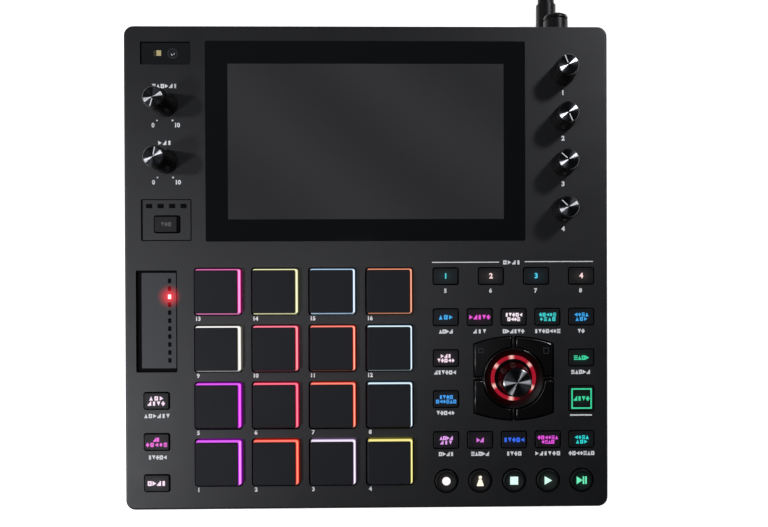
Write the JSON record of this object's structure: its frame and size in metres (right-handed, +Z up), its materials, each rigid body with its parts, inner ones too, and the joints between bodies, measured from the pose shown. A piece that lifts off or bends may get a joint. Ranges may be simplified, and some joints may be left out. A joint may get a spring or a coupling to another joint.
{
  "type": "drum machine",
  "caption": "Square tabletop drum machine with lit square pads, a large flush display, small knobs, a lit data dial, rows of lit keys and a touch strip.",
  "frame": {"origin": "On the table, under the middle of the footprint of the case with its rear power button, without the supply lead.", "axes": "+X to the player's right, +Y to the rear where the sockets are, +Z up out of the panel."},
  "size_m": [0.272, 0.405, 0.0555],
  "materials": {
    "panel_plastic": "matt black fine-textured moulding",
    "base_plastic": "matt black moulding",
    "cover_glass": "black printed cover glass, glossy",
    "display": "unlit display behind the glass",
    "touch_plate": "satin grey touch plate",
    "light_guide": "clear red light guides and dark sensor window",
    "circuit_board": "green solder mask",
    "socket_plastic": "black moulded sockets",
    "rubber_black": "black rubber",
    "screw_steel": "zinc-plated steel",
    "cord_sheath": "black flexible PVC sheath",
    "plug_plastic": "black moulded plug",
    "adapter_plastic": "black moulded housing",
    "pad_rubber": "black silicone top on a translucent lit skirt",
    "key_plastic": "black cap with a lit legend",
    "knob_plastic": "black cap with a turned metal top",
    "shaft_steel": "steel shaft",
    "button_plastic": "black push button"
  },
  "bodies": {
    "case": {"top_case": "panel_plastic", "bottom_case": "base_plastic", "display_glass": "cover_glass", "display_module": "display", "touch_strip": "touch_plate", "light_guides": "light_guide", "main_board": "circuit_board", "panel_board": "circuit_board", "rear_sockets": "socket_plastic", "feet": "rubber_black", "screws": "screw_steel", "power_cord": "cord_sheath", "cord_coil": "cord_sheath", "power_plug": "plug_plastic", "wall_adapter": "adapter_plastic"},
    "pad_01": {"pad_01": "pad_rubber"},
    "pad_02": {"pad_02": "pad_rubber"},
    "pad_03": {"pad_03": "pad_rubber"},
    "pad_04": {"pad_04": "pad_rubber"},
    "pad_05": {"pad_05": "pad_rubber"},
    "pad_06": {"pad_06": "pad_rubber"},
    "pad_07": {"pad_07": "pad_rubber"},
    "pad_08": {"pad_08": "pad_rubber"},
    "pad_09": {"pad_09": "pad_rubber"},
    "pad_10": {"pad_10": "pad_rubber"},
    "pad_11": {"pad_11": "pad_rubber"},
    "pad_12": {"pad_12": "pad_rubber"},
    "pad_13": {"pad_13": "pad_rubber"},
    "pad_14": {"pad_14": "pad_rubber"},
    "pad_15": {"pad_15": "pad_rubber"},
    "pad_16": {"pad_16": "pad_rubber"},
    "record_key": {"record_key": "key_plastic"},
    "overdub_key": {"overdub_key": "key_plastic"},
    "stop_key": {"stop_key": "key_plastic"},
    "play_key": {"play_key": "key_plastic"},
    "play_start_key": {"play_start_key": "key_plastic"},
    "bank_key_1": {"bank_key_1": "key_plastic"},
    "bank_key_2": {"bank_key_2": "key_plastic"},
    "bank_key_3": {"bank_key_3": "key_plastic"},
    "bank_key_4": {"bank_key_4": "key_plastic"},
    "full_level_key": {"full_level_key": "key_plastic"},
    "level_steps_key": {"level_steps_key": "key_plastic"},
    "erase_key": {"erase_key": "key_plastic"},
    "link_key": {"link_key": "key_plastic"},
    "tap_key": {"tap_key": "key_plastic"},
    "repeat_key": {"repeat_key": "key_plastic"},
    "menu_key": {"menu_key": "key_plastic"},
    "shift_key": {"shift_key": "key_plastic"},
    "mode_keys": {"mode_keys": "key_plastic"},
    "edit_keys": {"edit_keys": "key_plastic"},
    "corner_keys": {"corner_keys": "key_plastic"},
    "master_knob": {"master_knob": "knob_plastic"},
    "record_knob": {"record_knob": "knob_plastic"},
    "param_knob_1": {"param_knob_1": "knob_plastic"},
    "param_knob_2": {"param_knob_2": "knob_plastic"},
    "param_knob_3": {"param_knob_3": "knob_plastic"},
    "param_knob_4": {"param_knob_4": "knob_plastic"},
    "encoder_shaft": {"encoder_shaft": "shaft_steel"},
    "dial_knob": {"dial_knob": "knob_plastic"},
    "power_button": {"power_button": "button_plastic"}
  },
  "joints": [
    {"name": "master_turn", "type": "hinge", "parent": "case", "child": "master_knob", "pos_m": [-0.1125, 0.0865, 0.045], "axis": [0, 0, 1], "range_deg": [-300, 0]},
    {"name": "record_turn", "type": "hinge", "parent": "case", "child": "record_knob", "pos_m": [-0.1125, 0.0546, 0.045], "axis": [0, 0, 1], "range_deg": [-139, 161]},
    {"name": "param_1_turn", "type": "hinge", "parent": "case", "child": "param_knob_1", "pos_m": [0.1107, 0.1041, 0.045], "axis": [0, 0, 1], "continuous": true},
    {"name": "param_2_turn", "type": "hinge", "parent": "case", "child": "param_knob_2", "pos_m": [0.1107, 0.0785, 0.045], "axis": [0, 0, 1], "continuous": true},
    {"name": "param_3_turn", "type": "hinge", "parent": "case", "child": "param_knob_3", "pos_m": [0.1107, 0.0529, 0.045], "axis": [0, 0, 1], "continuous": true},
    {"name": "param_4_turn", "type": "hinge", "parent": "case", "child": "param_knob_4", "pos_m": [0.1107, 0.0273, 0.045], "axis": [0, 0, 1], "continuous": true},
    {"name": "dial_press", "type": "slide", "parent": "case", "child": "encoder_shaft", "axis": [0, 0, -1], "range_m": [0, 0.0008], "stiffness_N_per_m": 1200, "springref_m": -0.001},
    {"name": "dial_turn", "type": "hinge", "parent": "encoder_shaft", "child": "dial_knob", "pos_m": [0.0825, -0.0678, 0.045], "axis": [0, 0, 1], "continuous": true},
    {"name": "power_press", "type": "slide", "parent": "case", "child": "power_button", "axis": [0, -1, 0], "range_m": [0, 0.0025], "stiffness_N_per_m": 500, "springref_m": -0.0015},
    {"name": "mode_keys_press", "type": "slide", "parent": "case", "child": "mode_keys", "axis": [0, 0, -1], "range_m": [0, 0.001], "stiffness_N_per_m": 600, "springref_m": -0.0006},
    {"name": "edit_keys_press", "type": "slide", "parent": "case", "child": "edit_keys", "axis": [0, 0, -1], "range_m": [0, 0.001], "stiffness_N_per_m": 600, "springref_m": -0.0006},
    {"name": "corner_keys_press", "type": "slide", "parent": "case", "child": "corner_keys", "axis": [0, 0, -1], "range_m": [0, 0.001], "stiffness_N_per_m": 600, "springref_m": -0.0006},
    {"name": "pad_01_press", "type": "slide", "parent": "case", "child": "pad_01", "axis": [0, 0, -1], "range_m": [0, 0.0008], "stiffness_N_per_m": 900, "springref_m": -0.0008},
    {"name": "pad_06_press", "type": "slide", "parent": "case", "child": "pad_06", "axis": [0, 0, -1], "range_m": [0, 0.0008], "stiffness_N_per_m": 900, "springref_m": -0.0008},
    {"name": "pad_11_press", "type": "slide", "parent": "case", "child": "pad_11", "axis": [0, 0, -1], "range_m": [0, 0.0008], "stiffness_N_per_m": 900, "springref_m": -0.0008},
    {"name": "pad_16_press", "type": "slide", "parent": "case", "child": "pad_16", "axis": [0, 0, -1], "range_m": [0, 0.0008], "stiffness_N_per_m": 900, "springref_m": -0.0008},
    {"name": "shift_key_press", "type": "slide", "parent": "case", "child": "shift_key", "axis": [0, 0, -1], "range_m": [0, 0.001], "stiffness_N_per_m": 600, "springref_m": -0.0006},
    {"name": "play_key_press", "type": "slide", "parent": "case", "child": "play_key", "axis": [0, 0, -1], "range_m": [0, 0.001], "stiffness_N_per_m": 600, "springref_m": -0.0006},
    {"name": "bank_key_1_press", "type": "slide", "parent": "case", "child": "bank_key_1", "axis": [0, 0, -1], "range_m": [0, 0.001], "stiffness_N_per_m": 600, "springref_m": -0.0006},
    {"name": "full_level_key_press", "type": "slide", "parent": "case", "child": "full_level_key", "axis": [0, 0, -1], "range_m": [0, 0.001], "stiffness_N_per_m": 600, "springref_m": -0.0006},
    {"name": "link_key_press", "type": "slide", "parent": "case", "child": "link_key", "axis": [0, 0, -1], "range_m": [0, 0.001], "stiffness_N_per_m": 600, "springref_m": -0.0006},
    {"name": "menu_key_press", "type": "slide", "parent": "case", "child": "menu_key", "axis": [0, 0, -1], "range_m": [0, 0.001], "stiffness_N_per_m": 600, "springref_m": -0.0006},
    {"name": "record_key_press", "type": "slide", "parent": "case", "child": "record_key", "axis": [0, 0, -1], "range_m": [0, 0.001], "stiffness_N_per_m": 600, "springref_m": -0.0006},
    {"name": "overdub_key_press", "type": "slide", "parent": "case", "child": "overdub_key", "axis": [0, 0, -1], "range_m": [0, 0.001], "stiffness_N_per_m": 600, "springref_m": -0.0006},
    {"name": "stop_key_press", "type": "slide", "parent": "case", "child": "stop_key", "axis": [0, 0, -1], "range_m": [0, 0.001], "stiffness_N_per_m": 600, "springref_m": -0.0006},
    {"name": "play_start_key_press", "type": "slide", "parent": "case", "child": "play_start_key", "axis": [0, 0, -1], "range_m": [0, 0.001], "stiffness_N_per_m": 600, "springref_m": -0.0006},
    {"name": "bank_key_2_press", "type": "slide", "parent": "case", "child": "bank_key_2", "axis": [0, 0, -1], "range_m": [0, 0.001], "stiffness_N_per_m": 600, "springref_m": -0.0006},
    {"name": "bank_key_3_press", "type": "slide", "parent": "case", "child": "bank_key_3", "axis": [0, 0, -1], "range_m": [0, 0.001], "stiffness_N_per_m": 600, "springref_m": -0.0006},
    {"name": "bank_key_4_press", "type": "slide", "parent": "case", "child": "bank_key_4", "axis": [0, 0, -1], "range_m": [0, 0.001], "stiffness_N_per_m": 600, "springref_m": -0.0006},
    {"name": "level_steps_key_press", "type": "slide", "parent": "case", "child": "level_steps_key", "axis": [0, 0, -1], "range_m": [0, 0.001], "stiffness_N_per_m": 600, "springref_m": -0.0006},
    {"name": "erase_key_press", "type": "slide", "parent": "case", "child": "erase_key", "axis": [0, 0, -1], "range_m": [0, 0.001], "stiffness_N_per_m": 600, "springref_m": -0.0006},
    {"name": "tap_key_press", "type": "slide", "parent": "case", "child": "tap_key", "axis": [0, 0, -1], "range_m": [0, 0.001], "stiffness_N_per_m": 600, "springref_m": -0.0006},
    {"name": "repeat_key_press", "type": "slide", "parent": "case", "child": "repeat_key", "axis": [0, 0, -1], "range_m": [0, 0.001], "stiffness_N_per_m": 600, "springref_m": -0.0006},
    {"name": "pad_02_press", "type": "slide", "parent": "case", "child": "pad_02", "axis": [0, 0, -1], "range_m": [0, 0.0008], "stiffness_N_per_m": 900, "springref_m": -0.0008},
    {"name": "pad_03_press", "type": "slide", "parent": "case", "child": "pad_03", "axis": [0, 0, -1], "range_m": [0, 0.0008], "stiffness_N_per_m": 900, "springref_m": -0.0008},
    {"name": "pad_04_press", "type": "slide", "parent": "case", "child": "pad_04", "axis": [0, 0, -1], "range_m": [0, 0.0008], "stiffness_N_per_m": 900, "springref_m": -0.0008},
    {"name": "pad_05_press", "type": "slide", "parent": "case", "child": "pad_05", "axis": [0, 0, -1], "range_m": [0, 0.0008], "stiffness_N_per_m": 900, "springref_m": -0.0008},
    {"name": "pad_07_press", "type": "slide", "parent": "case", "child": "pad_07", "axis": [0, 0, -1], "range_m": [0, 0.0008], "stiffness_N_per_m": 900, "springref_m": -0.0008},
    {"name": "pad_08_press", "type": "slide", "parent": "case", "child": "pad_08", "axis": [0, 0, -1], "range_m": [0, 0.0008], "stiffness_N_per_m": 900, "springref_m": -0.0008},
    {"name": "pad_09_press", "type": "slide", "parent": "case", "child": "pad_09", "axis": [0, 0, -1], "range_m": [0, 0.0008], "stiffness_N_per_m": 900, "springref_m": -0.0008},
    {"name": "pad_10_press", "type": "slide", "parent": "case", "child": "pad_10", "axis": [0, 0, -1], "range_m": [0, 0.0008], "stiffness_N_per_m": 900, "springref_m": -0.0008},
    {"name": "pad_12_press", "type": "slide", "parent": "case", "child": "pad_12", "axis": [0, 0, -1], "range_m": [0, 0.0008], "stiffness_N_per_m": 900, "springref_m": -0.0008},
    {"name": "pad_13_press", "type": "slide", "parent": "case", "child": "pad_13", "axis": [0, 0, -1], "range_m": [0, 0.0008], "stiffness_N_per_m": 900, "springref_m": -0.0008},
    {"name": "pad_14_press", "type": "slide", "parent": "case", "child": "pad_14", "axis": [0, 0, -1], "range_m": [0, 0.0008], "stiffness_N_per_m": 900, "springref_m": -0.0008},
    {"name": "pad_15_press", "type": "slide", "parent": "case", "child": "pad_15", "axis": [0, 0, -1], "range_m": [0, 0.0008], "stiffness_N_per_m": 900, "springref_m": -0.0008}
  ]
}
